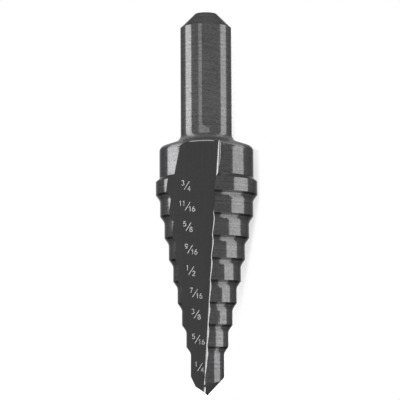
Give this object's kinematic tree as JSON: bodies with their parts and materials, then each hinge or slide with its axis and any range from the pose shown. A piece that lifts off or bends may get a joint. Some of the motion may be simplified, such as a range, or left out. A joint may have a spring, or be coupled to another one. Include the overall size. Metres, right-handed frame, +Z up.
{
  "type": "step drill",
  "caption": "Single-flute step drill with rising cutting steps, a relieved V flute, a ground point and a straight shank with flats for a drill chuck.",
  "frame": {"origin": "centre of the bounding box's base, on the surface that the drill lies on", "axes": "+Z up; the tool's axis is level along Y, its point towards -Y and its shank towards +Y; the flute is on the upper side"},
  "size_m": [0.0188, 0.071, 0.0182],
  "materials": {
    "black_oxide_steel": "satin"
  },
  "bodies": {
    "root": {"step_drill": "black_oxide_steel"}
  },
  "joints": []
}
